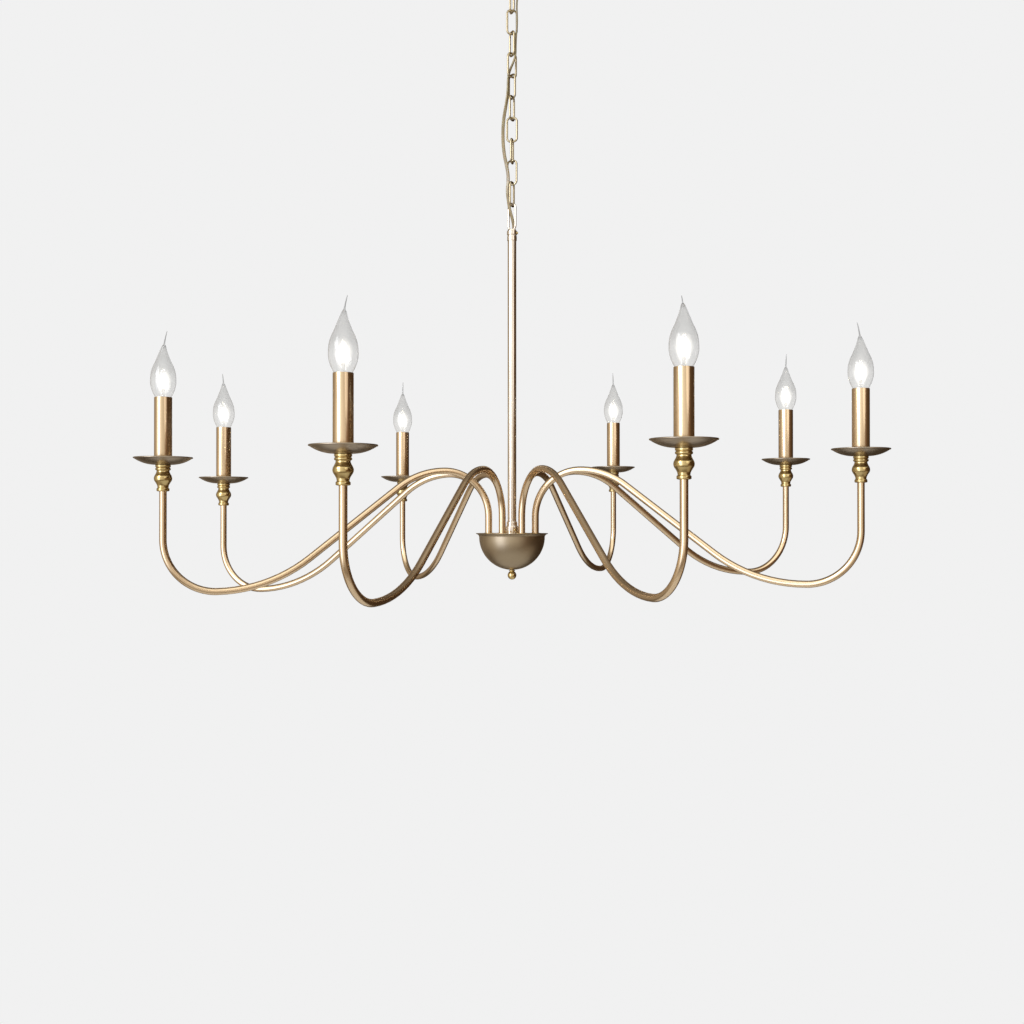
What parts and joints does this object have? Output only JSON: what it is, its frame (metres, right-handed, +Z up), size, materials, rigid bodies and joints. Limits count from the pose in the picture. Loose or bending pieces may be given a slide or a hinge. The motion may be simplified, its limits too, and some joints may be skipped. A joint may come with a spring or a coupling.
{
  "type": "multi arm chandelier",
  "caption": "Candle-style chandelier: S-shaped tube arms fan out from a bowl hub on a plain stem, hung by an oval-link chain with a flat supply cord from a domed ceiling canopy.",
  "frame": {"origin": "middle of the ceiling bracket's top face, which lies on the ceiling", "axes": "+Z up, away from the lights; +X to the right and +Y to the back when the two nearest arms point forward, half a step to each side"},
  "size_m": [1.035, 1.0254, 0.9705],
  "materials": {
    "satin_gold": "satin",
    "polished_brass": "polished",
    "champagne": "brushed, matte",
    "chain_brass": "satin",
    "zinc_steel": "zinc plated",
    "lamp_glass": "clear, polished",
    "cord_sheath": "translucent sheath over the conductors"
  },
  "bodies": {
    "ceiling_set": {"ceiling_bracket": "zinc_steel", "canopy": "satin_gold", "canopy_loop": "satin_gold", "supply_cord": "cord_sheath"},
    "link_01": {"chain_link_01": "chain_brass"},
    "link_02": {"chain_link_02": "chain_brass"},
    "link_03": {"chain_link_03": "chain_brass"},
    "link_04": {"chain_link_04": "chain_brass"},
    "link_05": {"chain_link_05": "chain_brass"},
    "link_06": {"chain_link_06": "chain_brass"},
    "link_07": {"chain_link_07": "chain_brass"},
    "link_08": {"chain_link_08": "chain_brass"},
    "link_09": {"chain_link_09": "chain_brass"},
    "link_10": {"chain_link_10": "chain_brass"},
    "fixture": {"stem_loop": "satin_gold", "stem": "satin_gold", "stem_collar": "satin_gold", "hub_plate": "satin_gold", "hub_bowl": "champagne", "finial": "polished_brass", "arm_1": "satin_gold", "candle_holder_1": "polished_brass", "drip_pan_1": "champagne", "candle_sleeve_1": "satin_gold", "arm_2": "satin_gold", "candle_holder_2": "polished_brass", "drip_pan_2": "champagne", "candle_sleeve_2": "satin_gold", "arm_3": "satin_gold", "candle_holder_3": "polished_brass", "drip_pan_3": "champagne", "candle_sleeve_3": "satin_gold", "arm_4": "satin_gold", "candle_holder_4": "polished_brass", "drip_pan_4": "champagne", "candle_sleeve_4": "satin_gold", "arm_5": "satin_gold", "candle_holder_5": "polished_brass", "drip_pan_5": "champagne", "candle_sleeve_5": "satin_gold", "arm_6": "satin_gold", "candle_holder_6": "polished_brass", "drip_pan_6": "champagne", "candle_sleeve_6": "satin_gold", "arm_7": "satin_gold", "candle_holder_7": "polished_brass", "drip_pan_7": "champagne", "candle_sleeve_7": "satin_gold", "arm_8": "satin_gold", "candle_holder_8": "polished_brass", "drip_pan_8": "champagne", "candle_sleeve_8": "satin_gold"},
    "lamp_1": {"bulb_1": "lamp_glass"},
    "lamp_2": {"bulb_2": "lamp_glass"},
    "lamp_3": {"bulb_3": "lamp_glass"},
    "lamp_4": {"bulb_4": "lamp_glass"},
    "lamp_5": {"bulb_5": "lamp_glass"},
    "lamp_6": {"bulb_6": "lamp_glass"},
    "lamp_7": {"bulb_7": "lamp_glass"},
    "lamp_8": {"bulb_8": "lamp_glass"}
  },
  "joints": [
    {"name": "link_01_swing", "type": "hinge", "parent": "ceiling_set", "child": "link_01", "pos_m": [0, 0, -0.05505], "axis": [0.9659, 0.2588, 0], "range_deg": [-6, 6], "deforming": ["supply_cord"]},
    {"name": "link_02_swing", "type": "hinge", "parent": "link_01", "child": "link_02", "pos_m": [0, 0, -0.0873], "axis": [0.3584, -0.9336, 0], "range_deg": [-6, 6]},
    {"name": "link_03_swing", "type": "hinge", "parent": "link_02", "child": "link_03", "pos_m": [0, 0, -0.1198], "axis": [0.9563, 0.2924, 0], "range_deg": [-6, 6]},
    {"name": "link_04_swing", "type": "hinge", "parent": "link_03", "child": "link_04", "pos_m": [0, 0, -0.1523], "axis": [0.4067, -0.9135, 0], "range_deg": [-6, 6]},
    {"name": "link_05_swing", "type": "hinge", "parent": "link_04", "child": "link_05", "pos_m": [0, 0, -0.1848], "axis": [0.7986, 0.6018, 0], "range_deg": [-6, 6]},
    {"name": "link_06_swing", "type": "hinge", "parent": "link_05", "child": "link_06", "pos_m": [0, 0, -0.2173], "axis": [0.6018, -0.7986, 0], "range_deg": [-6, 6]},
    {"name": "link_07_swing", "type": "hinge", "parent": "link_06", "child": "link_07", "pos_m": [0, 0, -0.2498], "axis": [0.4067, 0.9135, 0], "range_deg": [-6, 6]},
    {"name": "link_08_swing", "type": "hinge", "parent": "link_07", "child": "link_08", "pos_m": [0, 0, -0.2823], "axis": [0.9903, -0.1392, 0], "range_deg": [-6, 6]},
    {"name": "link_09_swing", "type": "hinge", "parent": "link_08", "child": "link_09", "pos_m": [0, 0, -0.3148], "axis": [0.2079, 0.9781, 0], "range_deg": [-6, 6]},
    {"name": "link_10_swing", "type": "hinge", "parent": "link_09", "child": "link_10", "pos_m": [0, 0, -0.3473], "axis": [0.9063, -0.4226, 0], "range_deg": [-6, 6]},
    {"name": "fixture_swing", "type": "hinge", "parent": "link_10", "child": "fixture", "pos_m": [0, 0, -0.3798], "axis": [0.3746, 0.9272, 0], "range_deg": [-6, 6]},
    {"name": "lamp_1_lift", "type": "slide", "parent": "fixture", "child": "lamp_1", "axis": [0, 0, 1], "range_m": [0, 0.03]},
    {"name": "lamp_2_lift", "type": "slide", "parent": "fixture", "child": "lamp_2", "axis": [0, 0, 1], "range_m": [0, 0.03]},
    {"name": "lamp_3_lift", "type": "slide", "parent": "fixture", "child": "lamp_3", "axis": [0, 0, 1], "range_m": [0, 0.03]},
    {"name": "lamp_4_lift", "type": "slide", "parent": "fixture", "child": "lamp_4", "axis": [0, 0, 1], "range_m": [0, 0.03]},
    {"name": "lamp_5_lift", "type": "slide", "parent": "fixture", "child": "lamp_5", "axis": [0, 0, 1], "range_m": [0, 0.03]},
    {"name": "lamp_6_lift", "type": "slide", "parent": "fixture", "child": "lamp_6", "axis": [0, 0, 1], "range_m": [0, 0.03]},
    {"name": "lamp_7_lift", "type": "slide", "parent": "fixture", "child": "lamp_7", "axis": [0, 0, 1], "range_m": [0, 0.03]},
    {"name": "lamp_8_lift", "type": "slide", "parent": "fixture", "child": "lamp_8", "axis": [0, 0, 1], "range_m": [0, 0.03]}
  ]
}
